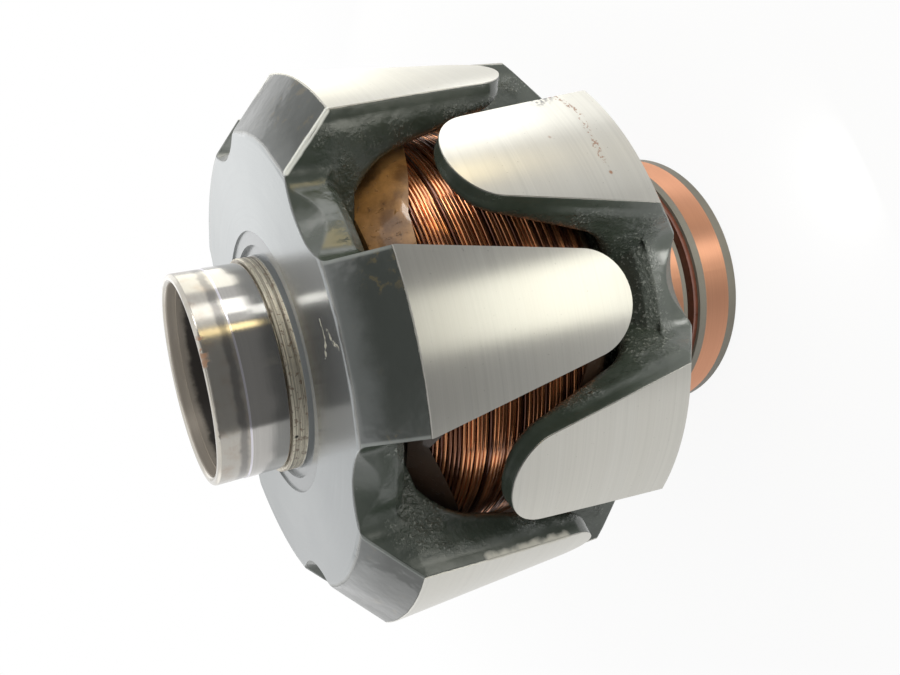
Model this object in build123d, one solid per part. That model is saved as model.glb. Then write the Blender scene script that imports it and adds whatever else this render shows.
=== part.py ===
from build123d import *
import os
from math import acos, atan2, cos, hypot, radians, sin, sqrt

# Claw-pole alternator rotor, standing on its slip ring end with its axis along +Z.
# The origin is on the axis, in the plane of the slip ring end. All sizes are in millimetres.

# Claw poles
rotor_diameter = 73.6
stack_length = 46.7
fingers_per_claw = 6
finger_length = 31.9
finger_root_width = 19.3
finger_tip_radius = 6.0
finger_tip_thickness = 3.0
finger_root_thickness = 7.2
finger_root_rounding = 8.0
finger_inner_rounding = 1.5
face_rounding = 1.8
bevel_depth = 6.6
front_bevel_length = 5.3
rear_bevel_length = 6.9
plate_hub_thickness = 8.5
plate_rim_thickness = 5.6
plate_flat_radius = 21.0
root_slope_offset = 1.6
root_slope_end = 11.5

# Valleys between neighbouring fingers
valley_depth = 0.8
valley_corner_radius = 2.6
valley_lip = 1.0
web_width = 3.6
scallop_radius = 9.2
scallop_depth = 1.8
scallop_length = 2.6

# Relief turned into the front face round the hub
relief_groove_width = 1.3
relief_flat_width = 1.9
relief_groove_depth = 0.8
relief_flat_depth = 0.25
relief_gap = 0.15

# Hub shaft
seat_radius = 13.2
collar_radius = 14.45
collar_length = 1.9
undercut_width = 0.25
undercut_depth = 0.3
journal_radius = 13.93
journal_length = 8.95
journal_step = 0.1
journal_step_length = 4.05
rim_rounding = 0.5
mouth_radius = 12.7
mouth_land_length = 1.6
hub_bore_radius = 12.5
hub_bore_length = 9.0
bore_shoulder_length = 2.0
taper_large_radius = 10.5
taper_small_radius = 9.0
taper_length = 30.0
bolt_hole_radius = 5.5
bolt_hole_cone_length = 2.5
spigot_radius = 10.0
spigot_recess = 0.8
spigot_chamfer = 0.8

# Core and field coil
core_radius = 18.5
core_sleeve_thickness = 0.5
coil_gap = 1.1
coil_flat_radius = 24.0
coil_slope_length = 5.1
coil_shoulder_rounding = 5.0
turn_pitch = 1.55
turn_depth = 0.42
paper_thickness = 0.4
paper_collar_length = 10.2
flap_width = 23.4
flap_edges = ((17.0, 10.4, 15.1), (17.6, 13.0, 11.7))

# Slip rings and what carries them
slip_ring_radius = 20.7
slip_ring_thickness = 2.0
slip_ring_width = 4.5
end_land_length = 1.8
outer_land_length = 1.3
inner_land_length = 0.75
inner_end_land_length = 1.85
groove_neck_depth = 2.7
groove_neck_length = 1.7
separator_inset = 0.45
separator_thickness = 0.8
bush_thickness = 2.0
boss_inset = 1.8
boss_length = 1.8
land_chamfer = 0.25

# Terminals and leads
terminal_width = 3.0
terminal_thickness = 0.8
terminal_foot_height = 2.0
terminal_inset = 2.3
terminal_proud_length = 1.3
lead_radius = 0.45
lead_bend_radius = 2.2
lead_circle_radius = 22.5
lead_depth_below_face = 0.7
lead_sleeve_thickness = 0.35
lead_hole_margin = 0.2
lead_groove_width = 2.6
lead_groove_depth = 2.2
solder_radius = 0.85
inner_terminal_angle = 90.0
outer_terminal_angle = 270.0

# Clearances of turned seats and of the soft insulation, and the overrun of cutting shapes
seat_clearance = 0.02
soft_clearance = 0.05
cut_margin = 1.0

# Heights and radii that follow from the sizes above
separator_z = end_land_length + slip_ring_width + outer_land_length
inner_carrier_z = separator_z + separator_thickness
inner_ring_z = inner_carrier_z + groove_neck_length + inner_land_length
carrier_face_z = inner_ring_z + slip_ring_width + inner_end_land_length
rear_face_z = carrier_face_z + boss_length
front_face_z = rear_face_z + stack_length
rear_plate_z = rear_face_z + plate_hub_thickness
front_plate_z = front_face_z - plate_hub_thickness
rotor_radius = rotor_diameter / 2
face_radius = rotor_radius - bevel_depth
valley_floor_radius = face_radius - valley_depth
pitch_angle = 360 / fingers_per_claw
sleeve_radius = core_radius + core_sleeve_thickness
coil_radius = rotor_radius - finger_root_thickness - coil_gap
root_slope_start = coil_flat_radius + root_slope_offset
bush_radius = spigot_radius + bush_thickness
ring_seat_radius = slip_ring_radius - slip_ring_thickness
groove_neck_radius = slip_ring_radius - groove_neck_depth
separator_radius = slip_ring_radius - separator_inset
terminal_radius = ring_seat_radius - terminal_inset
boss_radius = terminal_radius - boss_inset
lead_sleeve_radius = lead_radius + soft_clearance + lead_sleeve_thickness
lead_hole_radius = lead_sleeve_radius + lead_hole_margin
lead_z = rear_face_z - lead_depth_below_face
terminal_face_radius = terminal_radius + terminal_thickness / 2
terminal_angles = (inner_terminal_angle, outer_terminal_angle)


def turned(points, roundings=()):
    """Solid of revolution from (radius, height) points, with a radius at each named corner."""
    section = make_face(Polyline(*points, close=True))
    for corner, radius in roundings:
        section = fillet(section.vertices().sort_by_distance((*corner, 0))[0], radius)
    return revolve(Plane.XZ * section, Axis.Z)


def tube(inner, outer, bottom, top):
    """Plain ring between two heights."""
    return turned([(inner, bottom), (outer, bottom), (outer, top), (inner, top)])


def around(shape, count, start=0.0):
    """Copies of a shape spaced evenly about the rotor axis."""
    return [Rot(0, 0, start + index * 360 / count) * shape for index in range(count)]


def on_front(shape):
    """Places a shape made with its outer face at z = 0 onto the front of the stack."""
    return Pos(0, 0, front_face_z) * Rot(180, 0, 0) * shape


def on_rear(shape):
    """Places such a shape onto the rear of the stack, half a finger pitch round."""
    return Pos(0, 0, rear_face_z) * Rot(0, 0, pitch_angle / 2) * shape


# Claw poles, each made with its machined face at z = 0 and its fingers along +Z


def finger_slab():
    """One finger in side view, cut out radially: parallel root, tapering sides, round tip."""
    half = finger_root_width / 2
    tip_z = finger_length - finger_tip_radius
    reach = hypot(half, tip_z - plate_rim_thickness)
    tangent = atan2(plate_rim_thickness - tip_z, half) + acos(finger_tip_radius / reach)
    side = finger_tip_radius * cos(tangent)
    shoulder_z = tip_z + finger_tip_radius * sin(tangent)
    sides = Polyline(
        (-side, shoulder_z), (-half, plate_rim_thickness), (-half, 0),
        (half, 0), (half, plate_rim_thickness), (side, shoulder_z),
    )
    tip = ThreePointArc((side, shoulder_z), (0, finger_length), (-side, shoulder_z))
    return extrude(Plane.YZ * make_face(sides + tip), rotor_radius + cut_margin)


def valley_prism():
    """What the valley between two finger roots removes from the plate, centred on +X."""
    half = finger_root_width / 2
    lean = radians(pitch_angle / 2)

    def flank_point(radius):
        along = sqrt(radius ** 2 - half ** 2)
        return along * cos(lean) + half * sin(lean), along * sin(lean) - half * cos(lean)

    x_in, y_in = flank_point(valley_floor_radius)
    x_out, y_out = flank_point(rotor_radius + cut_margin)
    flanks = Polyline((x_in, -y_in), (x_out, -y_out), (x_out, y_out), (x_in, y_in))
    floor = ThreePointArc((x_in, y_in), (valley_floor_radius, 0), (x_in, -y_in))
    plan = make_face(flanks + floor)
    plan = fillet(plan.vertices().sort_by(Axis.X)[:2], valley_corner_radius)
    return Pos(0, 0, -cut_margin) * extrude(plan, plate_hub_thickness + 2 * cut_margin)


def scallop():
    """Shallow conical bite that breaks the front edge of one valley, centred on +X."""
    slope = scallop_depth / scallop_length
    centre = valley_floor_radius - scallop_depth + scallop_radius
    wide = scallop_radius + slope * cut_margin
    cone = Cone(wide, 0, wide / slope, align=(Align.CENTER, Align.CENTER, Align.MIN))
    return Pos(centre, 0, -cut_margin) * cone


def rounded_inside(finger):
    """A finger with the edges of its inner side rounded, from the root round the tip and back."""
    edges = []
    for kind in (GeomType.CONE, GeomType.TORUS):
        inner_face = finger.faces().filter_by(kind).sort_by(Axis.Z)[-1]
        edges += [edge for edge in inner_face.edges() if edge.geom_type != GeomType.CIRCLE]
    return fillet(edges, finger_inner_rounding)


def claw_pole(bevel_length):
    """Forged claw pole: a thick plate, bevelled and bored, with six tapering fingers."""
    bore = seat_radius + seat_clearance
    web_radius = valley_floor_radius + web_width
    web_z = bevel_length * (web_radius - face_radius) / (rotor_radius - face_radius)
    face_corner = (face_radius, 0)
    root_corner = (rotor_radius - finger_root_thickness, root_slope_end)
    plate = turned([
        (bore, 0), face_corner, (web_radius, web_z), (web_radius, plate_rim_thickness),
        (valley_floor_radius + valley_lip, plate_rim_thickness),
        (valley_floor_radius, plate_rim_thickness - valley_lip),
        (valley_floor_radius - valley_lip, plate_rim_thickness + valley_lip / 3),
        (plate_flat_radius, plate_hub_thickness), (bore, plate_hub_thickness),
    ], [(face_corner, face_rounding)])
    skirt = turned([
        (plate_flat_radius, 0), face_corner, (rotor_radius, bevel_length),
        (rotor_radius, finger_length), (rotor_radius - finger_tip_thickness, finger_length),
        root_corner, (root_slope_start, plate_hub_thickness),
        (plate_flat_radius, plate_hub_thickness),
    ], [(face_corner, face_rounding), (root_corner, finger_root_rounding)])
    claw = plate - around(valley_prism(), fingers_per_claw, pitch_angle / 2)
    finger = rounded_inside(skirt & finger_slab())
    claw += around(finger, fingers_per_claw)
    return claw - around(scallop(), fingers_per_claw, pitch_angle / 2)


def front_claw_pole():
    """Front claw with the stepped relief that clears the hub collar."""
    inner = collar_radius + relief_gap
    middle = inner + relief_groove_width
    outer = middle + relief_flat_width
    relief = turned([
        (inner, -cut_margin), (outer, -cut_margin), (outer, relief_flat_depth),
        (middle, relief_flat_depth), (middle, relief_groove_depth), (inner, relief_groove_depth),
    ])
    return on_front(claw_pole(front_bevel_length) - relief)


def rear_claw_pole():
    """Rear claw with a hole and a groove for each lead."""
    claw = on_rear(claw_pole(rear_bevel_length))
    groove_end = lead_circle_radius + lead_hole_radius
    groove_length = groove_end - boss_radius
    groove = Pos((groove_end + boss_radius) / 2, 0, rear_face_z) * Box(
        groove_length, lead_groove_width, 2 * lead_groove_depth
    )
    hole = Pos(lead_circle_radius, 0, rear_face_z) * Cylinder(
        lead_hole_radius, plate_hub_thickness + cut_margin,
        align=(Align.CENTER, Align.CENTER, Align.MIN),
    )
    for angle in terminal_angles:
        claw -= Rot(0, 0, angle) * (groove + hole)
    return claw


# Shaft and core


def hub_shaft():
    """Hollow hub: ground journal, collar, press seat for the stack and slip ring spigot."""
    collar_z = front_face_z + collar_length
    rim_z = collar_z + journal_length
    step_z = rim_z - journal_step_length
    bore_z = rim_z - hub_bore_length
    taper_z = bore_z - bore_shoulder_length
    bolt_z = taper_z - taper_length
    shaft = turned([
        (bolt_hole_radius, spigot_recess),
        (spigot_radius - spigot_chamfer, spigot_recess),
        (spigot_radius, spigot_recess + spigot_chamfer),
        (spigot_radius, rear_face_z),
        (seat_radius, rear_face_z),
        (seat_radius, front_face_z),
        (collar_radius, front_face_z),
        (collar_radius, collar_z),
        (journal_radius - undercut_depth, collar_z),
        (journal_radius - undercut_depth, collar_z + undercut_width),
        (journal_radius, collar_z + undercut_width),
        (journal_radius, step_z),
        (journal_radius - journal_step, step_z),
        (journal_radius - journal_step, rim_z),
        (mouth_radius, rim_z),
        (mouth_radius, rim_z - mouth_land_length),
        (hub_bore_radius, rim_z - mouth_land_length),
        (hub_bore_radius, bore_z),
        (taper_large_radius, taper_z),
        (taper_small_radius, bolt_z),
        (bolt_hole_radius, bolt_z - bolt_hole_cone_length),
    ])
    rim = shaft.edges().filter_by(GeomType.CIRCLE).group_by(Axis.Z)[-1]
    return fillet(rim, rim_rounding)


def pole_core():
    """Steel ring that joins the two claws inside the coil."""
    return tube(seat_radius + seat_clearance, core_radius, rear_plate_z, front_plate_z)


def core_insulating_sleeve():
    """Thin sleeve between the core and the first layer of the winding."""
    return tube(core_radius, sleeve_radius, rear_plate_z, front_plate_z)


# Field coil, its insulation and its leads


def coil_corners(bottom, top):
    """Half section of the coil between two heights, as (radius, height) corners."""
    inner = sleeve_radius + soft_clearance
    return [
        (inner, bottom), (coil_flat_radius, bottom), (coil_radius, bottom + coil_slope_length),
        (coil_radius, top - coil_slope_length), (coil_flat_radius, top), (inner, top),
    ]


def ridged(path):
    """Points along the coil's outer section, with a crest on it for each ridge of wire."""
    steps = 2 * round(path.length / turn_pitch)
    points = []
    for step in range(steps + 1):
        spot = path @ (step / steps)
        along = path % (step / steps)
        inward = turn_depth if step % 2 == 0 else 0
        points.append((spot.X - along.Y * inward, spot.Y + along.X * inward))
    return points


def field_winding():
    """Layered winding with round shoulders, its outer layer formed as ridges of wire."""
    margin = paper_thickness + soft_clearance
    corners = coil_corners(rear_plate_z + margin, front_plate_z - margin)
    outside = FilletPolyline(*corners[1:5], radius=coil_shoulder_rounding)
    return turned([corners[0], *ridged(outside), corners[5]])


def coil_insulator():
    """Paper end cap for the coil: a collar with flaps that fold over the outer layer."""
    margin = paper_thickness + soft_clearance
    far_end = stack_length - plate_hub_thickness - margin
    corners = coil_corners(plate_hub_thickness + margin, far_end)
    coil = make_face(Polyline(*corners, close=True))
    coil = fillet(coil.vertices().sort_by(Axis.X)[-2:], coil_shoulder_rounding)
    outside = offset(coil, margin, kind=Kind.INTERSECTION)
    inside = offset(coil, soft_clearance, kind=Kind.INTERSECTION)
    shell = revolve(Plane.XZ * (outside - inside), Axis.Z)
    shell -= Cylinder(sleeve_radius + soft_clearance, 2 * stack_length)
    upright = (Align.CENTER, Align.CENTER, Align.MIN)
    kept = Cylinder(rotor_radius, paper_collar_length, align=upright)
    half = flap_width / 2
    for index in range(fingers_per_claw):
        first, middle, last = flap_edges[index % len(flap_edges)]
        side = Polyline((-half, 0), (half, 0), (half, last), (0, middle), (-half, first), close=True)
        flap = extrude(Plane.YZ * make_face(side), rotor_radius)
        kept += Rot(0, 0, (index + 0.5) * pitch_angle) * flap
    return shell & kept


def lead(angle):
    """Wire from the coil end through the rear claw and inward to its terminal."""
    coil_z = rear_plate_z + paper_thickness + soft_clearance
    route = FilletPolyline(
        (lead_circle_radius, 0, coil_z), (lead_circle_radius, 0, lead_z),
        (terminal_face_radius, 0, lead_z), radius=lead_bend_radius,
    )
    section = Plane(origin=route @ 0, z_dir=route % 0) * Circle(lead_radius)
    return Rot(0, 0, angle) * sweep(section, path=route)


def lead_sleeve(angle):
    """Insulating tube on the straight part of a lead."""
    bottom = rear_face_z + lead_groove_depth
    top = rear_plate_z - soft_clearance
    section = Circle(lead_sleeve_radius) - Circle(lead_radius + soft_clearance)
    return Rot(0, 0, angle) * Pos(lead_circle_radius, 0, bottom) * extrude(section, top - bottom)


def rear_coil_insulator():
    """Rear end cap, pierced where the two leads come out of the winding."""
    cap = on_rear(coil_insulator())
    hole = Pos(lead_circle_radius, 0, rear_plate_z) * Cylinder(
        lead_radius + soft_clearance, 2 * (paper_thickness + cut_margin)
    )
    return cap - around(hole, len(terminal_angles), inner_terminal_angle)


# Slip ring assembly


def terminal(ring_z, angle):
    """Copper strip from the inside of a slip ring to its solder joint at the claw."""
    foot_z = ring_z + slip_ring_width / 2
    inner = terminal_radius - terminal_thickness / 2
    top = carrier_face_z + terminal_proud_length
    corner = (Align.MIN, Align.CENTER, Align.MIN)
    leg = Pos(inner, 0, foot_z) * Box(terminal_thickness, terminal_width, top - foot_z, align=corner)
    foot = Pos(inner, 0, foot_z - terminal_foot_height / 2) * Box(
        slip_ring_radius - inner, terminal_width, terminal_foot_height, align=corner
    )
    inside_ring = Pos(0, 0, foot_z) * Cylinder(ring_seat_radius, 2 * terminal_foot_height)
    return Rot(0, 0, angle) * (leg + (foot & inside_ring))


def solder_joint(angle):
    """Bead of solder round the end of a lead, against its terminal."""
    bead = Pos(terminal_face_radius + lead_radius, 0, lead_z) * Sphere(solder_radius)
    wire = Pos(terminal_face_radius, 0, lead_z) * Rot(0, 90, 0) * Cylinder(
        lead_radius, 4 * solder_radius
    )
    strip = Pos(terminal_radius, 0, lead_z) * Box(
        terminal_thickness, terminal_width, 4 * solder_radius
    )
    return Rot(0, 0, angle) * (bead - wire - strip)


def slip_ring(ring_z):
    """Copper ring seated between two lands of its carrier."""
    return tube(ring_seat_radius, slip_ring_radius, ring_z, ring_z + slip_ring_width)


def outer_ring_carrier():
    """Grey moulding at the very end, with the seat of the outer slip ring."""
    bore = bush_radius + seat_clearance
    ring_top = end_land_length + slip_ring_width
    return turned([
        (bore, 0), (slip_ring_radius - land_chamfer, 0), (slip_ring_radius, land_chamfer),
        (slip_ring_radius, end_land_length), (ring_seat_radius, end_land_length),
        (ring_seat_radius, ring_top), (slip_ring_radius, ring_top),
        (slip_ring_radius, separator_z), (bore, separator_z),
    ])


def inner_ring_carrier():
    """Grey moulding beside the claw: neck, inner slip ring seat and locating boss."""
    bore = bush_radius + seat_clearance
    neck_z = inner_carrier_z + groove_neck_length
    ring_top = inner_ring_z + slip_ring_width
    return turned([
        (bore, inner_carrier_z), (groove_neck_radius, inner_carrier_z),
        (groove_neck_radius, neck_z), (slip_ring_radius, neck_z),
        (slip_ring_radius, inner_ring_z), (ring_seat_radius, inner_ring_z),
        (ring_seat_radius, ring_top), (slip_ring_radius, ring_top),
        (slip_ring_radius, carrier_face_z), (boss_radius, carrier_face_z),
        (boss_radius, rear_face_z), (bore, rear_face_z),
    ])


def separator_disc():
    """Brown insulating disc between the two mouldings."""
    return tube(bush_radius + seat_clearance, separator_radius, separator_z, inner_carrier_z)


def slip_ring_bush():
    """Steel bush that carries the slip ring stack on the shaft."""
    return tube(spigot_radius + seat_clearance, bush_radius, spigot_recess, rear_face_z)


inner_terminal = terminal(inner_ring_z, inner_terminal_angle)
outer_terminal = terminal(end_land_length, outer_terminal_angle)
terminals = [inner_terminal, outer_terminal]

pieces = {
    "hub_shaft": hub_shaft(),
    "front_claw_pole": front_claw_pole(),
    "rear_claw_pole": rear_claw_pole(),
    "pole_core": pole_core(),
    "core_insulating_sleeve": core_insulating_sleeve(),
    "field_winding": field_winding(),
    "front_coil_insulator": on_front(coil_insulator()),
    "rear_coil_insulator": rear_coil_insulator(),
    "inner_ring_lead": lead(inner_terminal_angle),
    "outer_ring_lead": lead(outer_terminal_angle),
    "inner_lead_sleeve": lead_sleeve(inner_terminal_angle),
    "outer_lead_sleeve": lead_sleeve(outer_terminal_angle),
    "slip_ring_bush": slip_ring_bush(),
    "inner_ring_carrier": inner_ring_carrier() - terminals,
    "outer_ring_carrier": outer_ring_carrier() - outer_terminal,
    "ring_separator_disc": separator_disc() - outer_terminal,
    "inner_slip_ring": slip_ring(inner_ring_z),
    "outer_slip_ring": slip_ring(end_land_length),
    "inner_ring_terminal": inner_terminal,
    "outer_ring_terminal": outer_terminal,
    "inner_solder_joint": solder_joint(inner_terminal_angle),
    "outer_solder_joint": solder_joint(outer_terminal_angle),
}

os.makedirs("parts", exist_ok=True)
for name, piece in pieces.items():
    export_step(piece, f"parts/{name}.step")
    print(name, len(piece.solids()), round(piece.volume, 1))
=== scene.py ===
import math
import random
from types import SimpleNamespace

import bmesh
import bpy
from mathutils import Matrix, Vector


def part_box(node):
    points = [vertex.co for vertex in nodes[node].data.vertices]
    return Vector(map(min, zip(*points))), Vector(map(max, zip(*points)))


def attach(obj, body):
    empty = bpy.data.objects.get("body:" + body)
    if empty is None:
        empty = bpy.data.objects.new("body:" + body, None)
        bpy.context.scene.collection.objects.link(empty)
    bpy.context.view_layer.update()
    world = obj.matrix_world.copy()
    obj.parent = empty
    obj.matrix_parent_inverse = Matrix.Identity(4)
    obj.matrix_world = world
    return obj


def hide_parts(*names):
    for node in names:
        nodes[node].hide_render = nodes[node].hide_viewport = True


# Alternator rotor: finishes, fine wire, wear and studio. Everything is in metres.

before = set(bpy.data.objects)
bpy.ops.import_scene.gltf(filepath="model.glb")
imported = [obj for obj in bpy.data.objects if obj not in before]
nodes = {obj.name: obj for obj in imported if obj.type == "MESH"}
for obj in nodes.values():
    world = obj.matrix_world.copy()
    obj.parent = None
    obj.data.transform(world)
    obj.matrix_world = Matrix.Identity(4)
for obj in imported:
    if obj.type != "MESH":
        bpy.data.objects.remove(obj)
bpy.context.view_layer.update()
WIRE_SEED = 7
random.seed(WIRE_SEED)

# Places and sizes on the rotor

MM = 0.001
FRONT_FACE_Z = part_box("front_claw_pole")[1].z
REAR_FACE_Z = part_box("rear_claw_pole")[0].z
HUB_RIM_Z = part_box("hub_shaft")[1].z
ROTOR_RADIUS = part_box("front_claw_pole")[1].x
FINGERS_PER_CLAW = 6
FINGER_PITCH = math.tau / FINGERS_PER_CLAW
BEVEL_DEPTH = 6.6 * MM
FRONT_BEVEL_LENGTH = 5.3 * MM
REAR_BEVEL_LENGTH = 6.9 * MM
FACE_RADIUS = ROTOR_RADIUS - BEVEL_DEPTH
WEB_HALF_WIDTH = 9.65 * MM
RELIEF_RADIUS = 17.8 * MM
MOUTH_RADIUS = 12.7 * MM
STEP_Z = HUB_RIM_Z - 4.05 * MM
COLLAR_TOP_Z = FRONT_FACE_Z + 1.9 * MM
WIRE_DIAMETER = 0.55 * MM
COIL_RADIUS = 28.5 * MM
COIL_FLAT_RADIUS = 24.0 * MM
COIL_SLOPE_LENGTH = 5.1 * MM
COIL_SHOULDER_ROUNDING = 5.0 * MM


def around(radius, degrees, height):
    """A point by its radius, its angle about the rotor axis and its height."""
    angle = math.radians(degrees)
    return Vector((radius * math.cos(angle), radius * math.sin(angle), height))


def in_scene(name, data):
    """A new object with the given data, linked to the scene."""
    made = bpy.data.objects.new(name, data)
    bpy.context.scene.collection.objects.link(made)
    return made


# Small helpers for node materials

ALONG_TURNING_LINES = 0.55
SPOT_CORE_SHARE = 0.3
LINE_CORE_SHARE = 0.25
QUARTER_TURN = 0.25


class Shader:
    """A material's node tree, built up one node at a time."""

    def __init__(self, name):
        self.material = bpy.data.materials.new(name)
        self.material.use_nodes = True
        self.tree = self.material.node_tree
        self.bsdf = self.tree.nodes["Principled BSDF"]
        self.place = self.node("ShaderNodeTexCoord").outputs["Object"]

    def node(self, kind, **settings):
        node = self.tree.nodes.new(kind)
        for key, value in settings.items():
            setattr(node, key, value)
        return node

    def link(self, source, target):
        """Links a socket, or sets a plain value."""
        if hasattr(source, "links"):
            self.tree.links.new(source, target)
        else:
            target.default_value = source

    def math(self, operation, a, b=0.0, clamp=False):
        node = self.node("ShaderNodeMath", operation=operation, use_clamp=clamp)
        self.link(a, node.inputs[0])
        self.link(b, node.inputs[1])
        return node.outputs[0]

    def times(self, first, *others):
        for other in others:
            first = self.math("MULTIPLY", first, other)
        return first

    def other(self, value):
        """1 less the value."""
        return self.math("SUBTRACT", 1.0, value)

    def vector(self, operation, a, b):
        node = self.node("ShaderNodeVectorMath", operation=operation)
        self.link(a, node.inputs[0])
        self.link(b, node.inputs[1])
        return node

    def scaled(self, scale):
        """Object coordinates stretched by three factors."""
        return self.vector("MULTIPLY", self.place, scale).outputs[0]

    def noise(self, scale, detail=4.0, rough=0.55, place=None):
        node = self.node("ShaderNodeTexNoise")
        node.inputs["Scale"].default_value = scale
        node.inputs["Detail"].default_value = detail
        node.inputs["Roughness"].default_value = rough
        self.link(place or self.place, node.inputs["Vector"])
        return node.outputs["Fac"]

    def step(self, value, low, high):
        """0 below low, 1 above high, smooth between."""
        node = self.node("ShaderNodeMapRange", interpolation_type="SMOOTHSTEP")
        self.link(value, node.inputs["Value"])
        node.inputs["From Min"].default_value = low
        node.inputs["From Max"].default_value = high
        return node.outputs["Result"]

    def band(self, value, low, high, soft):
        """1 between low and high, fading to 0 over a soft width at either end."""
        rise = self.step(value, low - soft, low + soft)
        return self.times(rise, self.other(self.step(value, high - soft, high + soft)))

    def spread(self, value, low, high):
        """Takes 0..1 onto low..high."""
        node = self.node("ShaderNodeMapRange")
        self.link(value, node.inputs["Value"])
        node.inputs["To Min"].default_value = low
        node.inputs["To Max"].default_value = high
        return node.outputs["Result"]

    def wandering(self, value, amount, **noise):
        """The value, moved up and down by noise by up to the amount."""
        return self.math("ADD", value, self.spread(self.noise(**noise), -amount, amount))

    def mix(self, factor, a, b):
        """One colour or another, by a factor."""
        node = self.node("ShaderNodeMix", data_type="RGBA")
        self.link(factor, node.inputs["Factor"])
        for value, socket in ((a, node.inputs["A"]), (b, node.inputs["B"])):
            self.link(value if hasattr(value, "links") else (*value, 1.0), socket)
        return node.outputs["Result"]

    def blend(self, factor, a, b, kind="FLOAT"):
        """One number or another, by a factor, or one vector or another."""
        node = self.node("ShaderNodeMix", data_type=kind)
        self.link(factor, node.inputs["Factor"])
        self.link(a, node.inputs["A"])
        self.link(b, node.inputs["B"])
        return node.outputs["Result"]

    def bump(self, height, distance, under=None):
        node = self.node("ShaderNodeBump")
        node.inputs["Distance"].default_value = distance
        self.link(height, node.inputs["Height"])
        if under is not None:
            self.link(under, node.inputs["Normal"])
        return node.outputs["Normal"]

    def cylinder(self):
        """Radius, height and angle of the point about the rotor axis."""
        split = self.node("ShaderNodeSeparateXYZ")
        self.link(self.place, split.inputs[0])
        x, y, z = split.outputs
        square = self.math("ADD", self.times(x, x), self.times(y, y))
        return self.math("SQRT", square), z, self.math("ARCTAN2", y, x)

    def across(self, radius, angle, offset):
        """Sideways distance from the middle of the nearest finger; offset is in finger pitches."""
        pitches = self.math("ADD", self.math("DIVIDE", angle, FINGER_PITCH), offset)
        from_middle = self.math("SUBTRACT", self.math("FRACT", pitches), 0.5)
        turn = self.times(from_middle, FINGER_PITCH)
        return self.math("ABSOLUTE", self.times(radius, self.math("SINE", turn)))

    def flow(self, along_radius, along_height):
        """Coordinates that vary quickly across turning lines and hardly along them."""
        radius, height, angle = self.cylinder()
        node = self.node("ShaderNodeCombineXYZ")
        self.link(self.times(radius, along_radius), node.inputs[0])
        self.link(self.times(angle, ALONG_TURNING_LINES), node.inputs[1])
        self.link(self.times(height, along_height), node.inputs[2])
        return node.outputs[0]

    def pushed(self, scale, amount):
        """Object coordinates pushed about by noise, for ragged marks."""
        noise = self.node("ShaderNodeTexNoise")
        noise.inputs["Scale"].default_value = scale
        self.link(self.place, noise.inputs["Vector"])
        middle = (0.5, 0.5, 0.5)
        centred = self.vector("SUBTRACT", noise.outputs["Color"], middle)
        push = self.vector("MULTIPLY", centred.outputs[0], (amount, amount, amount))
        return self.vector("ADD", self.place, push.outputs[0]).outputs[0]

    def near(self, points, reach):
        """1 near any of the points, fading to 0 at reach."""
        total = 0.0
        for point in points:
            gap = self.vector("DISTANCE", self.place, point).outputs["Value"]
            spot = self.other(self.step(gap, reach * SPOT_CORE_SHARE, reach))
            total = self.math("MAXIMUM", spot, total)
        return total

    def line(self, points, width, place):
        """1 on a line through the points, fading to 0 at half its width."""
        nearest = 1.0
        for start, end in zip(points, points[1:]):
            along = end - start
            offset = self.vector("SUBTRACT", place, start).outputs[0]
            share = self.vector("DOT_PRODUCT", offset, along / along.length_squared).outputs["Value"]
            foot = self.node("ShaderNodeVectorMath", operation="SCALE")
            foot.inputs[0].default_value = along
            self.link(self.math("ADD", share, 0.0, clamp=True), foot.inputs["Scale"])
            gap = self.vector("DISTANCE", offset, foot.outputs[0]).outputs["Value"]
            nearest = self.math("MINIMUM", gap, nearest)
        return self.other(self.step(nearest, width * LINE_CORE_SHARE, width / 2))

    def turned(self, strength):
        """Highlights drawn out across the turning lines, which run round the axis."""
        tangent = self.node("ShaderNodeTangent", direction_type="RADIAL", axis="Z")
        self.link(tangent.outputs[0], self.bsdf.inputs["Tangent"])
        self.bsdf.inputs["Anisotropic"].default_value = strength
        self.bsdf.inputs["Anisotropic Rotation"].default_value = QUARTER_TURN

    def coated(self, weight, roughness):
        """A clear coat of varnish."""
        self.bsdf.inputs["Coat Weight"].default_value = weight
        self.bsdf.inputs["Coat Roughness"].default_value = roughness

    def finish(self, colour, roughness, metallic=None, normal=None):
        self.link(colour, self.bsdf.inputs["Base Color"])
        self.link(roughness, self.bsdf.inputs["Roughness"])
        if metallic is not None:
            self.link(metallic, self.bsdf.inputs["Metallic"])
        if normal is not None:
            self.link(normal, self.bsdf.inputs["Normal"])
        return self.material

    def show(self, factor, first, second):
        """Sends one shader or another to the material's output, by a factor."""
        mixed = self.node("ShaderNodeMixShader")
        self.link(factor, mixed.inputs["Fac"])
        self.link(first.outputs[0], mixed.inputs[1])
        self.link(second.outputs[0], mixed.inputs[2])
        self.link(mixed.outputs[0], self.tree.nodes["Material Output"].inputs["Surface"])


def dress(name, material):
    data = nodes[name].data
    data.materials.clear()
    data.materials.append(material)


# Claws


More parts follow.
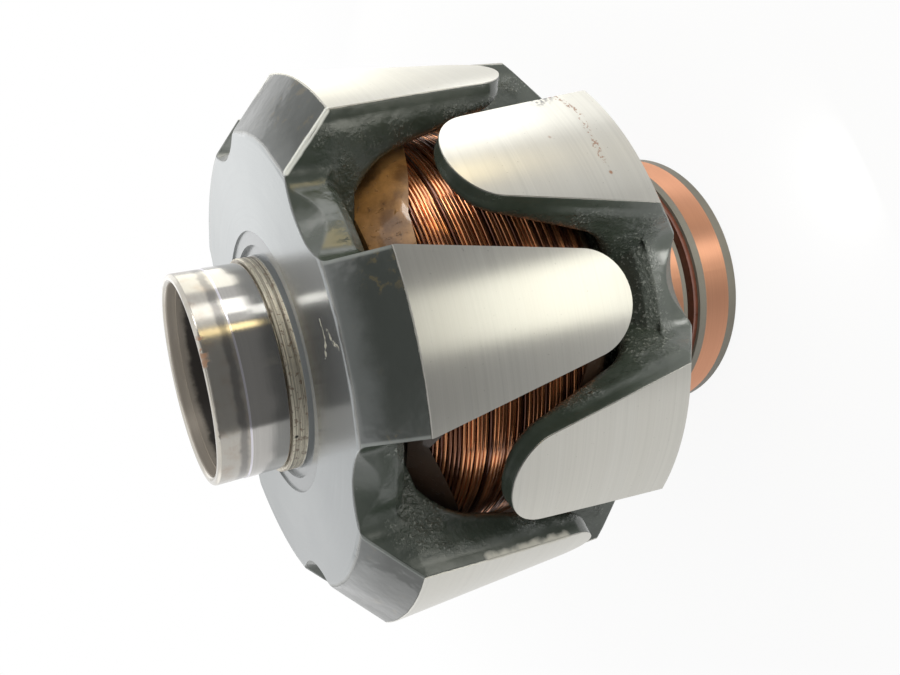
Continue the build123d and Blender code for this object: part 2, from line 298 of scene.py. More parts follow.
def front_marks(s):
    """A forked scratch on the face, chips along one finger's edge, and a painted highlight along a
    bevel's edge.
    """
    pale = (0.62, 0.58, 0.44)
    chipped = (0.62, 0.60, 0.52)
    # Colour of the painted edge highlight.
    bright = (0.90, 0.92, 0.86)
    scratch_width = 0.5 * MM
    chip_width = 2.2 * MM
    edge_highlight_width = 1.1 * MM

    bent = s.pushed(scale=1500, amount=1.2 * MM)
    stem = [(24.9, 9.3), (25.4, 5.8), (25.1, 2.9), (24.3, 0.3)]
    fork = [(26.6, 6.4), (27.4, 3.4), (28.9, 1.3)]
    scratch, branch = [
        s.line([around(radius * MM, degrees, FRONT_FACE_Z) for radius, degrees in route],
               scratch_width, bent)
        for route in (stem, fork)
    ]
    broken = s.step(s.noise(scale=2400, detail=3), 0.44, 0.52)
    scratches = s.math("MAXIMUM", scratch, s.times(branch, broken))

    chip_route = [around(ROTOR_RADIUS, -46.3, 51.5 * MM), around(ROTOR_RADIUS, -49.6, 40.0 * MM)]
    chips = s.line(chip_route, chip_width, s.pushed(scale=600, amount=0.9 * MM))
    # Painted highlight: a pale line along the rounded edge between a finger's bevel and its flank.
    edge_highlight_route = [around(30.6 * MM, 41.7, FRONT_FACE_Z - 0.3 * MM),
                   around(36.6 * MM, 44.7, FRONT_FACE_Z - 5.1 * MM)]
    edge_highlight = s.line(edge_highlight_route, edge_highlight_width, s.pushed(scale=400, amount=0.3 * MM))
    return [(s.times(scratches, 0.8), pale), (chips, chipped), (s.times(edge_highlight, 0.9), bright)]


def rear_marks(s):
    """A thin trail of rust dots over one finger, with a grey smudge at its start."""
    grey = (0.20, 0.20, 0.21)
    rusty = (0.27, 0.135, 0.075)
    trail_width = 1.0 * MM
    lone_reach = 0.36 * MM
    faint_reach = 0.30 * MM
    smudge_reach = 2.4 * MM

    route = [(44.0, 32.6), (42.0, 30.8), (37.6, 30.0), (30.0, 30.8), (25.0, 31.2)]
    trail = s.line([around(ROTOR_RADIUS, degrees, height * MM) for degrees, height in route],
                   trail_width, s.pushed(scale=1300, amount=1.2 * MM))
    dots = s.times(trail, s.step(s.noise(scale=2600, detail=3), 0.52, 0.57), 0.85)
    lone = s.near([around(ROTOR_RADIUS, 22.4, 31.0 * MM)], lone_reach)
    faint = s.times(s.near([around(ROTOR_RADIUS, 31.7, 36.5 * MM)], faint_reach), 0.5)
    rust = s.math("MAXIMUM", s.math("MAXIMUM", dots, lone), faint)

    smudge_places = [around(ROTOR_RADIUS, 44.4, 33.0 * MM), around(ROTOR_RADIUS, 43.2, 34.2 * MM)]
    smudge = s.times(s.near(smudge_places, smudge_reach),
                     s.step(s.noise(scale=1700, detail=4), 0.45, 0.58))
    return [(smudge, grey), (rust, rusty)]


def claw_zones(s, face_z, sign, bevel_length):
    """The depth below the face, and masks that are each 1 on one kind of the claw's surface."""
    radius, height, angle = s.cylinder()
    depth = s.times(s.math("SUBTRACT", face_z, height), sign)

    edge = s.wandering(radius, 0.06 * MM, scale=700, detail=3, rough=0.5)
    outside = s.step(edge, ROTOR_RADIUS - 0.20 * MM, ROTOR_RADIUS - 0.10 * MM)
    skin = s.wandering(depth, 0.10 * MM, scale=170, detail=3, rough=0.5)
    relief = s.math("LESS_THAN", radius, RELIEF_RADIUS)
    face = s.math("MAXIMUM", s.other(s.step(skin, 0.03 * MM, 0.24 * MM)), relief)
    bare = s.math("MAXIMUM", outside, face, clamp=True)

    cone = s.times(s.math("SUBTRACT", radius, FACE_RADIUS), bevel_length / BEVEL_DEPTH)
    off_cone = s.math("ABSOLUTE", s.math("SUBTRACT", depth, cone))
    bevel = s.times(s.other(s.step(off_cone, 0.12 * MM, 0.30 * MM)), s.other(bare))
    # A front finger lies at angle 0, and a rear one half a pitch on.
    lateral = s.across(radius, angle, 0.5 if sign > 0 else 0.0)
    # The strip along the bevel's sides that takes the pale edge colour: partly wear, partly painted
    # highlight of the rounded edges.
    seam = s.times(s.step(lateral, WEB_HALF_WIDTH - 0.50 * MM, WEB_HALF_WIDTH - 0.20 * MM), bevel)

    below = s.step(depth, 2.2 * MM, 4.8 * MM)
    inward = s.other(s.step(radius, ROTOR_RADIUS - 3.0 * MM, ROTOR_RADIUS - 1.2 * MM))
    cast = s.times(below, s.other(s.math("MAXIMUM", bare, bevel)), inward)
    return SimpleNamespace(depth=depth, outside=outside, relief=relief, face=face, bare=bare,
                           bevel=bevel, seam=seam, cast=cast)


def claw_textures(s):
    """The noises that several parts of a claw's finish share."""
    return SimpleNamespace(
        lines=s.noise(scale=1.0, detail=5, rough=0.7, place=s.flow(3600, 2900)),
        cloud=s.noise(scale=90, detail=4),
        lumps=s.noise(scale=330, detail=4, rough=0.5),
        grains=s.noise(scale=2300, detail=4, rough=0.6),
        patch=s.step(s.noise(scale=130, detail=2), 0.48, 0.60),
    )


def claw_steel(s, zone, texture):
    """Turned steel, with a thin grey film on the face and dark specks."""
    dull = (0.46, 0.455, 0.42)
    bright = (0.70, 0.69, 0.64)
    warm = (0.56, 0.54, 0.48)
    film_dark = (0.29, 0.31, 0.32)
    film_light = (0.39, 0.41, 0.41)
    film_line = (0.24, 0.26, 0.28)
    speck = (0.24, 0.23, 0.21)

    wide = s.noise(scale=1.0, detail=3, rough=0.5, place=s.flow(500, 330))
    steel = s.mix(texture.lines, dull, bright)
    steel = s.mix(s.spread(wide, 0.0, 0.6), steel, warm)
    film = s.mix(texture.cloud, film_dark, film_light)
    film = s.mix(s.spread(texture.lines, 0.0, 0.35), film, film_line)
    steel = s.mix(s.times(zone.face, 0.9), steel, film)
    specks = s.times(s.step(s.noise(scale=2600, detail=2), 0.71, 0.78), 0.5)
    return s.mix(specks, steel, speck)


def valley_lacquer(s, zone, texture):
    """Green-black lacquer on the flanks and over the rough cast valleys, with painted glints in
    patches.
    """
    low = (0.024, 0.034, 0.024)
    high = (0.060, 0.074, 0.055)
    # Painted glints: pale specks on the rough cast lacquer that stand in for highlights.
    glint_grey = (0.40, 0.42, 0.37)
    painted_glints = s.times(s.step(texture.grains, 0.55, 0.68), zone.cast, texture.patch)
    return s.mix(s.times(painted_glints, 0.5), s.mix(texture.lumps, low, high), glint_grey)


def bevel_lacquer(s, zone, texture):
    """Smooth lacquer on the bevel, with brown flecks, a lighter band near the face that is painted
    highlight, and pale sides that are partly wear and partly painted edge highlight.
    """
    low = (0.006, 0.011, 0.006)
    high = (0.020, 0.028, 0.019)
    brown = (0.11, 0.08, 0.02)
    highlight_grey = (0.12, 0.13, 0.125)
    worn_and_highlit = (0.36, 0.39, 0.36)
    veil = s.mix(texture.cloud, low, high)
    flecks = s.times(s.step(s.noise(scale=800, detail=4, rough=0.6), 0.54, 0.66), texture.patch)
    veil = s.mix(s.times(flecks, 0.5), veil, brown)
    # A lighter band on the bevel near the face: painted highlight of the rounded face edge.
    ragged = s.wandering(zone.depth, 1.1 * MM, scale=230, detail=4)
    face_edge_highlight = s.other(s.step(ragged, 0.4 * MM, 3.0 * MM))
    veil = s.mix(s.times(face_edge_highlight, 0.8), veil, highlight_grey)
    # Pale sides along the bevel's edges: partly wear, partly painted highlight of the rounded edges.
    wear = s.spread(s.noise(scale=190, detail=2), 0.15, 0.75)
    return s.mix(s.times(zone.seam, wear), veil, worn_and_highlit)


def claw_normal(s, zone, texture):
    """Soft edges and waves under the lacquer, fine lines on bare steel, rough grain on the casting."""
    soft_edge = s.node("ShaderNodeBevel", samples=4)
    soft_edge.inputs["Radius"].default_value = 0.6 * MM
    straight = s.node("ShaderNodeNewGeometry").outputs["Normal"]
    base = s.blend(zone.bare, soft_edge.outputs["Normal"], straight, kind="VECTOR")
    cut = s.times(texture.lines, zone.bare, s.other(s.times(zone.face, 0.75)))
    fine = s.bump(cut, 0.006 * MM, base)
    waves = s.bump(s.times(texture.cloud, s.other(zone.bare)), 0.3 * MM, fine)
    swell = s.bump(s.times(texture.lumps, zone.cast), 0.3 * MM, waves)
    grain = s.times(texture.grains, zone.cast, s.spread(texture.patch, 0.15, 1.0))
    return s.bump(grain, 0.22 * MM, swell)


def claw_material(name, face_z, sign, bevel_length, marks):
    """Turned steel outside and on the face, dark lacquer on the bevel, in the valleys and on flanks."""
    s = Shader(name)
    zone = claw_zones(s, face_z, sign, bevel_length)
    texture = claw_textures(s)

    lacquer = s.mix(zone.bevel, valley_lacquer(s, zone, texture), bevel_lacquer(s, zone, texture))
    colour = s.mix(zone.bare, lacquer, claw_steel(s, zone, texture))
    metallic = s.times(zone.bare, s.other(s.times(zone.relief, 0.6)))
    rough = s.blend(zone.bevel, s.spread(texture.lumps, 0.18, 0.32),
                    s.spread(texture.cloud, 0.06, 0.18))
    rough = s.blend(zone.outside, rough, s.spread(texture.lines, 0.30, 0.42))
    rough = s.blend(zone.face, rough, s.spread(texture.lines, 0.16, 0.26))
    mark_roughness = 0.5
    for mask, tint in marks(s):
        colour = s.mix(mask, colour, tint)
        metallic = s.times(metallic, s.other(mask))
        rough = s.blend(mask, rough, mark_roughness)

    s.bsdf.inputs["IOR"].default_value = 1.75
    s.turned(0.85)
    return s.finish(colour, rough, metallic, claw_normal(s, zone, texture))


# Hub and other steel


def hub_track(s, steel, height, satin):
    """Stains on the satin end of the journal, the dark track of a seal, and a painted highlight along
    the step.
    """
    warm = (0.44, 0.41, 0.34)
    brown = (0.36, 0.29, 0.23)
    dark = (0.17, 0.165, 0.16)
    bright = (0.74, 0.72, 0.78)
    stain = s.step(s.noise(scale=420, detail=5, rough=0.6), 0.45, 0.75)
    steel = s.mix(s.times(satin, 0.35), steel, warm)
    steel = s.mix(s.times(satin, stain, 0.6), steel, brown)
    uneven = s.wandering(height, 0.5 * MM, scale=500, detail=3)
    track = s.band(uneven, STEP_Z + 0.35 * MM, STEP_Z + 1.35 * MM, 0.3 * MM)
    steel = s.mix(s.times(track, 0.75), steel, dark)
    # Painted highlight: a thin pale line along the step's edge.
    painted_step_highlight = s.band(height, STEP_Z - 0.12 * MM, STEP_Z + 0.10 * MM, 0.04 * MM)
    return s.mix(s.times(painted_step_highlight, 0.8), steel, bright)


def hub_collar(s, steel, collar, rough_band):
    """Rough cream scale on the collar, streaked and pitted, with one deep pit painted black as shade.
    """
    scale_dark = (0.17, 0.13, 0.09)
    scale_light = (0.86, 0.80, 0.64)
    streak = (0.11, 0.075, 0.045)
    pitted = (0.20, 0.12, 0.07)
    black = (0.01, 0.01, 0.01)
    lines = s.noise(scale=1.0, detail=4, rough=0.7, place=s.flow(1900, 4300))
    pits = s.step(s.noise(scale=1500, detail=4, rough=0.6), 0.57, 0.63)
    cream = s.mix(s.step(rough_band, 0.35, 0.62), scale_dark, scale_light)
    cream = s.mix(s.times(s.step(lines, 0.54, 0.62), 0.75), cream, streak)
    cream = s.mix(s.times(pits, 0.7), cream, pitted)
    steel = s.mix(s.times(collar, 0.85), steel, cream)
    # Painted shade: a black spot for the dark inside of a deep pit.
    deep_pit_shade = s.near([around(14.45 * MM, -39.2, FRONT_FACE_Z + 1.5 * MM)], 0.35 * MM)
    return s.mix(deep_pit_shade, steel, black)


def hub_rust(s):
    """Rust in spots near the rim."""
    spots = [around(13.8 * MM, degrees, HUB_RIM_Z - 0.2 * MM) for degrees in (8, 12, 16, 19, 108)]
    return s.times(s.near(spots, 0.9 * MM), s.step(s.noise(scale=900, detail=3), 0.42, 0.52))


def hub_bore(s, steel, height, inside):
    """A brown turned wall at the mouth, which turns nearly black further than 2 to 3 mm down."""
    brown = (0.36, 0.31, 0.26)
    tan = (0.62, 0.56, 0.47)
    black = (0.035, 0.031, 0.029)
    lines = s.noise(scale=1.0, detail=4, rough=0.6, place=s.flow(900, 1500))
    ragged = s.wandering(height, 0.7 * MM, scale=420, detail=4, rough=0.6)
    deep = s.times(inside, s.other(s.step(ragged, HUB_RIM_Z - 3.0 * MM, HUB_RIM_Z - 2.0 * MM)))
    steel = s.mix(s.times(inside, 0.9), steel, s.mix(lines, brown, tan))
    return s.mix(s.times(deep, 0.92), steel, black)


def hub_material():
    """Ground steel showing wear: seal track, a painted highlight on the step, rough cream collar with a
    pit painted black as shade, rust at the rim.
    """
    dull = (0.35, 0.345, 0.33)
    bright = (0.49, 0.48, 0.46)
    warm = (0.42, 0.39, 0.35)
    pale = (0.72, 0.68, 0.60)
    rusty = (0.36, 0.18, 0.09)
    s = Shader("hub_steel")
    radius, height = s.cylinder()[:2]
    lines = s.noise(scale=1.0, detail=6, rough=0.75, place=s.flow(9000, 7000))
    cloud = s.noise(scale=260, detail=5)
    rough_band = s.noise(scale=1.0, detail=5, rough=0.75, place=s.flow(2600, 3400))

    satin = s.band(height, STEP_Z + 0.1 * MM, HUB_RIM_Z, 0.1 * MM)
    collar = s.other(s.step(height, COLLAR_TOP_Z + 0.05 * MM, COLLAR_TOP_Z + 0.15 * MM))
    rim = s.step(height, HUB_RIM_Z - 0.50 * MM, HUB_RIM_Z - 0.30 * MM)
    inside = s.math("LESS_THAN", radius, MOUTH_RADIUS + 0.05 * MM)
    rust = hub_rust(s)

    steel = s.mix(lines, dull, bright)
    steel = s.mix(s.spread(cloud, 0.0, 0.3), steel, warm)
    steel = hub_track(s, steel, height, satin)
    steel = hub_collar(s, steel, collar, rough_band)
    steel = s.mix(s.times(rim, s.spread(cloud, 0.2, 0.8)), steel, pale)
    steel = s.mix(s.times(rust, 0.85), steel, rusty)
    steel = hub_bore(s, steel, height, inside)

    rough = s.blend(satin, s.spread(lines, 0.10, 0.15), s.spread(lines, 0.18, 0.26))
    rough = s.blend(collar, rough, 0.32)
    rough = s.blend(inside, rough, 0.40)
    fine = s.bump(lines, 0.004 * MM)
    relief = s.bump(s.times(rough_band, collar), 0.16 * MM, fine)
    s.turned(0.5)
    metallic = s.times(s.other(s.times(rust, 0.9)), s.other(s.times(inside, 0.7)))
    return s.finish(steel, rough, metallic, relief)


def plain_steel(name):
    """Turned steel without marks, for the inner pieces."""
    dull = (0.36, 0.35, 0.33)
    bright = (0.58, 0.57, 0.54)
    s = Shader(name)
    lines = s.noise(scale=1.0, detail=5, rough=0.7, place=s.flow(5000, 5000))
    colour = s.mix(s.spread(lines, 0.1, 0.9), dull, bright)
    s.turned(0.7)
    return s.finish(colour, s.spread(lines, 0.28, 0.42), 1.0, s.bump(lines, 0.01 * MM))


# Copper, plastic, paper


def ring_material():
    """Slip ring copper with the fine tracks that brushes leave."""
    dark = (0.56, 0.27, 0.155)
    light = (0.84, 0.47, 0.31)
    brown = (0.62, 0.31, 0.19)
    s = Shader("slip_ring_copper")
    lines = s.noise(scale=1.0, detail=6, rough=0.8, place=s.flow(3000, 5200))
    wide = s.noise(scale=1.0, detail=3, rough=0.5, place=s.flow(300, 900))
    colour = s.mix(lines, dark, light)
    colour = s.mix(s.spread(wide, 0.0, 0.5), colour, brown)
    s.turned(0.95)
    return s.finish(colour, s.spread(lines, 0.50, 0.62), 1.0, s.bump(lines, 0.01 * MM))


def wire_material(name, shade):
    """Enamelled copper under brown varnish; each turn has a tone of its own. The shade factor darkens
    all of it, for a shaded copy.
    """
    dark = [channel * shade for channel in (0.17, 0.062, 0.032)]
    light = [channel * shade for channel in (0.88, 0.37, 0.155)]
    varnish = (0.09, 0.032, 0.017)
    s = Shader(name)
    turn = s.node("ShaderNodeAttribute", attribute_name="tone").outputs["Fac"]
    pool = s.noise(scale=240, detail=4, rough=0.55)
    colour = s.mix(s.step(turn, 0.1, 0.8), dark, light)
    colour = s.mix(s.times(s.step(pool, 0.55, 0.68), 0.5), colour, varnish)
    s.coated(0.8, 0.06)
    return s.finish(colour, s.spread(pool, 0.12, 0.20), 0.9)


def paper_material(name, amber):
    """Varnished insulating paper, amber on one side and dark brown on the other: the dark brown is
    painted shade.
    """
    amber_dark = (0.17, 0.078, 0.022)
    amber_light = (0.56, 0.29, 0.095)
    fibre_brown = (0.15, 0.07, 0.02)
    shade_dark = (0.022, 0.013, 0.009)
    shade_light = (0.075, 0.042, 0.024)
    s = Shader(name)
    stain = s.noise(scale=240, detail=5, rough=0.6)
    fibre = s.noise(scale=1.0, detail=5, rough=0.7, place=s.scaled((2600, 2600, 420)))
    colour = s.mix(s.step(stain, 0.30, 0.65), amber_dark, amber_light)
    colour = s.mix(s.spread(fibre, 0.0, 0.30), colour, fibre_brown)
    side = s.math("SINE", s.cylinder()[2])
    # Painted shade: dark brown on the side towards -y, and over nearly all the paper when the amber
    # share is low.
    shaded_side = s.other(s.times(s.step(side, -0.25, 0.10), amber))
    colour = s.mix(shaded_side, colour, s.mix(stain, shade_dark, shade_light))
    beads = s.step(s.noise(scale=1500, detail=3), 0.62, 0.72)
    s.coated(0.8, 0.08)
    relief = s.bump(beads, 0.12 * MM, s.bump(fibre, 0.03 * MM))
    return s.finish(colour, s.spread(fibre, 0.30, 0.48), 0.0, relief)


def plastic_material():
    """Grey thermoset moulding."""
    dark = (0.135, 0.125, 0.098)
    light = (0.20, 0.188, 0.152)
    s = Shader("grey_moulding")
    grain = s.noise(scale=1900, detail=4)
    colour = s.mix(s.noise(scale=160, detail=3), dark, light)
    return s.finish(colour, s.spread(grain, 0.42, 0.58), 0.0, s.bump(grain, 0.02 * MM))


def separator_material():
    """Brown varnished laminate."""
    dark = (0.075, 0.022, 0.012)
    light = (0.22, 0.070, 0.036)
    s = Shader("brown_laminate")
    grain = s.noise(scale=900, detail=4)
    s.coated(0.6, 0.1)
    return s.finish(s.mix(grain, dark, light), s.spread(grain, 0.22, 0.38), 0.0,
                    s.bump(grain, 0.02 * MM))


def solder_material():
    """Dull tin solder."""
    dark = (0.34, 0.34, 0.33)
    light = (0.56, 0.56, 0.54)
    s = Shader("dull_solder")
    grain = s.noise(scale=1500, detail=3)
    return s.finish(s.mix(grain, dark, light), s.spread(grain, 0.3, 0.5), 0.9,
                    s.bump(grain, 0.03 * MM))


dress("hub_shaft", hub_material())
dress("front_claw_pole", claw_material("front_claw_steel", FRONT_FACE_Z, 1.0, FRONT_BEVEL_LENGTH,
                                       front_marks))
dress("rear_claw_pole", claw_material("rear_claw_steel", REAR_FACE_Z, -1.0, REAR_BEVEL_LENGTH,
                                      rear_marks))
for name in ("pole_core", "slip_ring_bush"):
    dress(name, plain_steel(name + "_steel"))
dress("front_coil_insulator", paper_material("amber_paper", 1.0))
# Paper for the rear insulator and the sleeves: mostly painted shade, as its amber share is low.
paper = paper_material("shaded_brown_paper", 0.15)
for name in ("core_insulating_sleeve", "rear_coil_insulator", "inner_lead_sleeve",
             "outer_lead_sleeve"):
    dress(name, paper)
copper = ring_material()
for name in ("inner_slip_ring", "outer_slip_ring", "inner_ring_terminal", "outer_ring_terminal"):
    dress(name, copper)
lead_wire = wire_material("lead_wire", 1.0)
for name in ("inner_ring_lead", "outer_ring_lead"):
    dress(name, lead_wire)
grey = plastic_material()
for name in ("inner_ring_carrier", "outer_ring_carrier"):
    dress(name, grey)
dress("ring_separator_disc", separator_material())
solder = solder_material()
for name in ("inner_solder_joint", "outer_solder_joint"):
    dress(name, solder)


# Fine wire over the coil

TURN_STEPS = 144
WIRE_SIDES = 6
BACKING_STEPS = 128
SUNK_SHARE = 0.12
SUNK_DEPTH = 0.20 * MM
WAVE_HEIGHT = 0.04 * MM
BUNCHING_HEIGHT = 0.10 * MM
BUNCHING_LENGTH = 1.1 * MM
BACKING_INSET = WIRE_DIAMETER * 0.85
SLEEVE_GAP = 0.1 * MM
# Brightness of the coil body against the wire: painted shade between the turns.
BACKING_SHADE = 0.15


def rounded(profile, radius):
    """The section with its inner corners turned into arcs."""
    smooth = [profile[0]]
    for before, corner, after in zip(profile, profile[1:], profile[2:]):
        back = (before - corner).normalized()
        onward = (after - corner).normalized()
        half = back.angle(onward) / 2
        centre = corner + (back + onward).normalized() * radius / math.sin(half)
        start = corner + back * radius / math.tan(half) - centre
        end = corner + onward * radius / math.tan(half) - centre
        smooth += [centre + start.lerp(end, share).normalized() * radius
                   for share in (0.0, 0.25, 0.5, 0.75, 1.0)]
    return smooth + [profile[-1]]


def coil_profile(inset):
    """The coil's outer section from the front to the rear, as (radius, height)."""
    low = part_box("field_winding")[0].z
    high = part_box("field_winding")[1].z
    corners = [
        Vector((COIL_FLAT_RADIUS - inset, high - inset)),
        Vector((COIL_RADIUS - inset, high - COIL_SLOPE_LENGTH)),
        Vector((COIL_RADIUS - inset, low + COIL_SLOPE_LENGTH)),
        Vector((COIL_FLAT_RADIUS - inset, low + inset)),
    ]
    return rounded(corners, COIL_SHOULDER_ROUNDING)


def along_profile(profile, pitch):
    """Evenly spaced points along the whole section, one for each turn of wire."""
    total = sum((b - a).length for a, b in zip(profile, profile[1:]))
    count = round(total / pitch)
    spots = []
    walked = 0.0
    for a, b in zip(profile, profile[1:]):
        length = (b - a).length
        while len(spots) < count and (len(spots) + 0.5) * total / count <= walked + length:
            share = ((len(spots) + 0.5) * total / count - walked) / length
            spots.append(a.lerp(b, share))
        walked += length
    return spots


def join_rings(mesh, rings):
    """Faces between each ring of vertices and the next, all the way round the axis."""
    for a, b in zip(rings, rings[1:] + rings[:1]):
        for side in range(len(a)):
            after = (side + 1) % len(a)
            mesh.faces.new((a[side], a[after], b[after], b[side]))


def piece_from(mesh, name, material):
    """A smooth-shaded object made from the given bmesh."""
    bmesh.ops.recalc_face_normals(mesh, faces=mesh.faces)
    data = bpy.data.meshes.new(name)
    mesh.to_mesh(data)
    mesh.free()
    data.shade_smooth()
    data.materials.append(material)
    return in_scene(name, data)


def wire_turn(mesh, tone_layer, spot):
    """One turn of wire: a thin closed tube that wanders a little on its way round."""
    phase = random.uniform(0, math.tau)
    sway = random.uniform(0.02, 0.14) * MM
    sunk = random.random() < SUNK_SHARE
    lift = -SUNK_DEPTH if sunk else random.uniform(-0.05, 0.04) * MM
    tone = random.random()
    rings = []
    for step in range(TURN_STEPS):
        angle = math.tau * step / TURN_STEPS
        middle = spot.x + lift + WAVE_HEIGHT * math.sin(2 * angle + phase)
        bunching = BUNCHING_HEIGHT * math.sin(2 * angle + spot.y / BUNCHING_LENGTH)
        height = spot.y + sway * math.sin(angle + phase) + bunching
        ring = []
        for side in range(WIRE_SIDES):
            turn = math.tau * side / WIRE_SIDES
            radius = middle + WIRE_DIAMETER / 2 * math.cos(turn)
            z = height + WIRE_DIAMETER / 2 * math.sin(turn)
            vertex = mesh.verts.new((radius * math.cos(angle), radius * math.sin(angle), z))
            vertex[tone_layer] = tone
            ring.append(vertex)
        rings.append(ring)
    join_rings(mesh, rings)


def coil_wire():
    """All turns of the outer layer."""
    mesh = bmesh.new()
    tone_layer = mesh.verts.layers.float.new("tone")
    for spot in along_profile(coil_profile(WIRE_DIAMETER / 2), WIRE_DIAMETER):
        wire_turn(mesh, tone_layer, spot)
    return piece_from(mesh, "coil_wire", wire_material("coil_wire_enamel", 1.0))


def coil_backing():
    """Painted shade between and under the turns: the coil's body, a little inside the wire, in the
    wire's material darkened.
    """
    profile = coil_profile(BACKING_INSET)
    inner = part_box("core_insulating_sleeve")[1].x + SLEEVE_GAP
    outline = [Vector((inner, profile[0].y))] + profile + [Vector((inner, profile[-1].y))]
    mesh = bmesh.new()
    rings = []
    for step in range(BACKING_STEPS):
        angle = math.tau * step / BACKING_STEPS
        rings.append([mesh.verts.new((spot.x * math.cos(angle), spot.x * math.sin(angle), spot.y))
                      for spot in outline])
    join_rings(mesh, rings)
    return piece_from(mesh, "coil_body", wire_material("coil_backing_shade", BACKING_SHADE))


wire = coil_wire()
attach(wire, "root")
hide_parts("field_winding")
body = coil_backing()
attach(body, "root")


# Camera, fitted to the photograph

CAMERA_PLACE = Vector((104.888, 2.857, 91.596)) * MM
CAMERA_RIGHT = Vector((0.45076, -0.20117, -0.86968))
CAMERA_UP = Vector((0.05494, 0.97868, -0.19790))
CAMERA_FORWARD = Vector((-0.89095, -0.04142, -0.45220))
FOCAL_PIXELS = 783.01
IMAGE_WIDTH = 900
SENSOR_WIDTH = 36.0
NEAREST_SEEN = 5 * MM

camera_data = bpy.data.cameras.new("camera")
camera_data.sensor_width = SENSOR_WIDTH
camera_data.lens = FOCAL_PIXELS / IMAGE_WIDTH * SENSOR_WIDTH
camera_data.clip_start = NEAREST_SEEN
camera = in_scene("camera", camera_data)
turn = Matrix((CAMERA_RIGHT, CAMERA_UP, -CAMERA_FORWARD)).transposed()
camera.matrix_world = Matrix.Translation(CAMERA_PLACE) @ turn.to_4x4()
bpy.context.scene.camera = camera


# Studio: pale floor, soft light all round, a dark card and small lamps

STUDIO_LEVEL = 0.7
SHADOW_SHARE = 0.10
FLOOR_REACH = 3.0
FLOOR_GAP = 0.2 * MM
SHADOW_RADIUS = 0.06
WHITE_RADIUS = 0.20


def seen_directly(node, links):
    """1 for rays that show the background: straight from the camera, in metal and through glass."""
    path = node("ShaderNodeLightPath")
    total = path.outputs["Is Camera Ray"]
    for other in ("Is Glossy Ray", "Is Transmission Ray"):
        both = node("ShaderNodeMath", operation="MAXIMUM")
        links.new(total, both.inputs[0])
        links.new(path.outputs[other], both.inputs[1])
        total = both.outputs[0]
    return total


def floor_piece():
    """A wide pale floor under the slip ring end, which keeps the object's shadow."""
    corners = [(-FLOOR_REACH, -FLOOR_REACH, 0), (FLOOR_REACH, -FLOOR_REACH, 0),
               (FLOOR_REACH, FLOOR_REACH, 0), (-FLOOR_REACH, FLOOR_REACH, 0)]
    mesh = bpy.data.meshes.new("floor")
    mesh.from_pydata(corners, [], [(0, 1, 2, 3)])
    piece = in_scene("floor", mesh)
    piece.location.z = -FLOOR_GAP
    s = Shader("pale_floor")
    colour = s.mix(s.noise(scale=40, detail=3), (0.93, 0.93, 0.925), (0.95, 0.95, 0.945))
    s.finish(colour, 0.8)
    radius = s.cylinder()[0]
    share = s.spread(s.step(radius, SHADOW_RADIUS, WHITE_RADIUS), 1.0 - SHADOW_SHARE, 1.0)
    seen = seen_directly(s.node, s.tree.links)
    s.show(s.times(share, seen), s.bsdf, s.node("ShaderNodeEmission"))
    mesh.materials.append(s.material)


def studio_world():
    """A white background, and soft light from all round at a plain level."""
    world = bpy.data.worlds.new("studio")
    bpy.context.scene.world = world
    world.use_nodes = True
    tree = world.node_tree
    tree.nodes.clear()

    def node(kind, **settings):
        made = tree.nodes.new(kind)
        for key, value in settings.items():
            setattr(made, key, value)
        return made

    light = node("ShaderNodeBackground")
    light.inputs["Strength"].default_value = STUDIO_LEVEL
    backdrop = node("ShaderNodeBackground")
    for shader in (light, backdrop):
        shader.inputs["Color"].default_value = (1, 1, 1, 1)
    mixed = node("ShaderNodeMixShader")
    tree.links.new(seen_directly(node, tree.links), mixed.inputs["Fac"])
    tree.links.new(light.outputs[0], mixed.inputs[1])
    tree.links.new(backdrop.outputs[0], mixed.inputs[2])
    out = node("ShaderNodeOutputWorld")
    tree.links.new(mixed.outputs[0], out.inputs["Surface"])


def soft_lamp(name, place, target, width, tall, tint, level):
    """A flat lamp of the given size whose surface is level times as bright as white."""
    data = bpy.data.lights.new(name, "AREA")
    data.shape = "RECTANGLE"
    data.size = width
    data.size_y = tall
    data.color = tint
    data.energy = math.pi * level * width * tall
    lamp = in_scene(name, data)
    lamp.location = place
    lamp.rotation_euler = (target - place).to_track_quat("-Z", "Y").to_euler()
    lamp.visible_camera = False


CARD_RADIUS = 0.078
CARD_FOOT = 0.003
CARD_TOP = 0.16
CARD_FIRST = math.radians(-58)
CARD_LAST = math.radians(50)
CARD_STEPS = 24
LID_INNER_RADIUS = 0.060


def card_mesh():
    """A wall round a part of the axis, with a lid on it that comes to a point over the axis."""
    corners = []
    for step in range(CARD_STEPS + 1):
        angle = CARD_FIRST + (CARD_LAST - CARD_FIRST) * step / CARD_STEPS
        corners += [(CARD_RADIUS * math.cos(angle), CARD_RADIUS * math.sin(angle), z)
                    for z in (CARD_FOOT, CARD_TOP)]
    corners.append((0.0, 0.0, CARD_TOP))
    wall = [(2 * k, 2 * k + 2, 2 * k + 3, 2 * k + 1) for k in range(CARD_STEPS)]
    lid = [(2 * k + 1, 2 * k + 3, len(corners) - 1) for k in range(CARD_STEPS)]
    mesh = bpy.data.meshes.new("dark_card")
    mesh.from_pydata(corners, [], wall + lid)
    return mesh


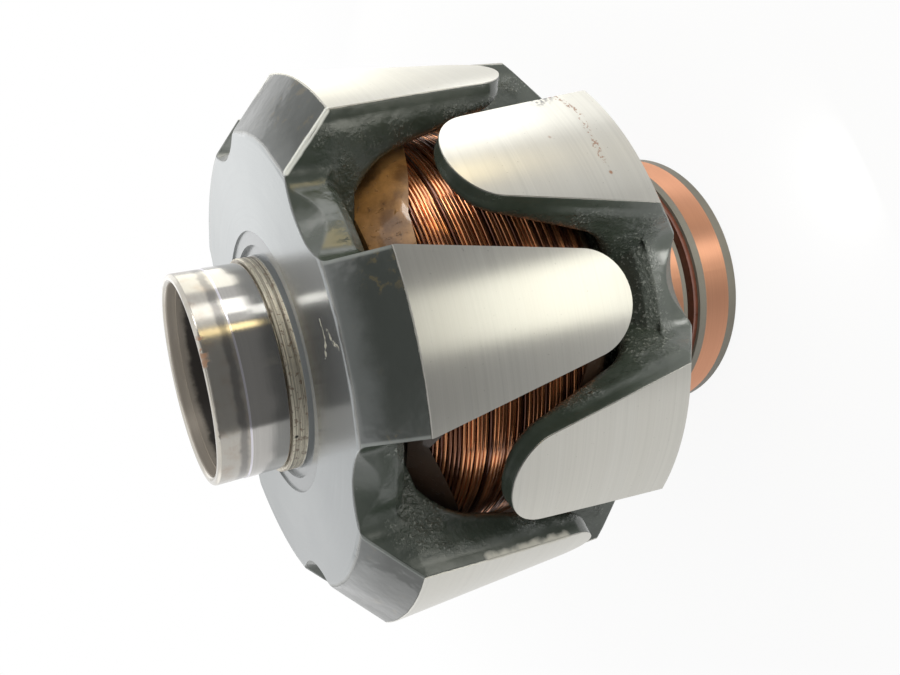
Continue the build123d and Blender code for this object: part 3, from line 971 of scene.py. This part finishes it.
def card_material():
    """A dark grey glow, darker higher up; low down only the middle glows, and it fades at the rim."""
    soft = math.radians(3)
    middle_half = math.radians(30)
    full_above = 0.042
    soft_height = 0.006
    fade_start = 0.12
    s = Shader("dark_card")
    radius, height, angle = s.cylinder()
    cover = s.math("MAXIMUM", s.step(height, full_above, full_above + soft_height),
                   s.band(angle, -middle_half, middle_half, soft))
    cover = s.times(cover, s.other(s.step(angle, CARD_LAST - 2 * soft, CARD_LAST)),
                    s.other(s.step(height, fade_start, CARD_TOP)))
    on_top = s.math("GREATER_THAN", height, CARD_TOP - 0.5 * MM)
    lid = s.times(on_top, s.other(s.step(radius, LID_INNER_RADIUS, CARD_RADIUS)))
    level = s.spread(s.step(height, 0.030, 0.052), 0.42, 0.24)
    glow = s.node("ShaderNodeEmission")
    s.link(s.math("ADD", level, s.times(lid, 0.2)), glow.inputs["Strength"])
    s.show(s.math("MAXIMUM", cover, lid), s.node("ShaderNodeBsdfTransparent"), glow)
    return s.material


def dark_card():
    """A dark card on the camera's side, which only the metal's reflections show."""
    mesh = card_mesh()
    mesh.materials.append(card_material())
    piece = in_scene("dark_card", mesh)
    for ray in ("camera", "diffuse", "transmission", "volume_scatter", "shadow"):
        setattr(piece, "visible_" + ray, False)


HUB_TARGET = Vector((0, 0, 0.065))
STACK_TARGET = Vector((0.02, 0, 0.045))
COIL_TARGET = Vector((0.022, 0.014, 0.055))
RING_TARGET = Vector((0.020, 0.003, 0.012))

floor_piece()
studio_world()
dark_card()

# Each lamp: name, place, what it faces, width and height, tint, brightness
soft_lamp("window", around(0.20, 70, 0.030), HUB_TARGET, 0.064, 0.050, (1.0, 1.0, 0.98), 2.2)
soft_lamp("ceiling", around(0.13, 119, 0.034), HUB_TARGET, 0.110, 0.056, (1.0, 0.97, 0.84), 1.4)
soft_lamp("warm_strip", around(0.072, 42, 0.054), HUB_TARGET, 0.007, 0.040, (1.0, 0.80, 0.40), 3.4)
soft_lamp("low_lamp", around(0.072, 3, 0.022), STACK_TARGET, 0.024, 0.028, (1.0, 0.99, 0.88), 2.6)
soft_lamp("floor_lamp", around(0.080, 72, 0.014), STACK_TARGET, 0.046, 0.020, (1.0, 1.0, 0.97), 2.6)
soft_lamp("coil_lamp", around(0.082, 57.5, 0.088), COIL_TARGET, 0.014, 0.014, (1.0, 0.98, 0.95), 9.0)
soft_lamp("ring_lamp", around(0.046, 12.5, 0.005), RING_TARGET, 0.008, 0.006, (1.0, 1.0, 0.95), 14.0)
soft_lamp("high_side", around(0.30, 152, 0.14), HUB_TARGET, 0.26, 0.12, (1.0, 1.0, 1.0), 0.4)
soft_lamp("low_side", around(0.30, -132, 0.14), HUB_TARGET, 0.16, 0.12, (1.0, 1.0, 1.0), 0.4)

bpy.context.scene.view_settings.view_transform = "Standard"
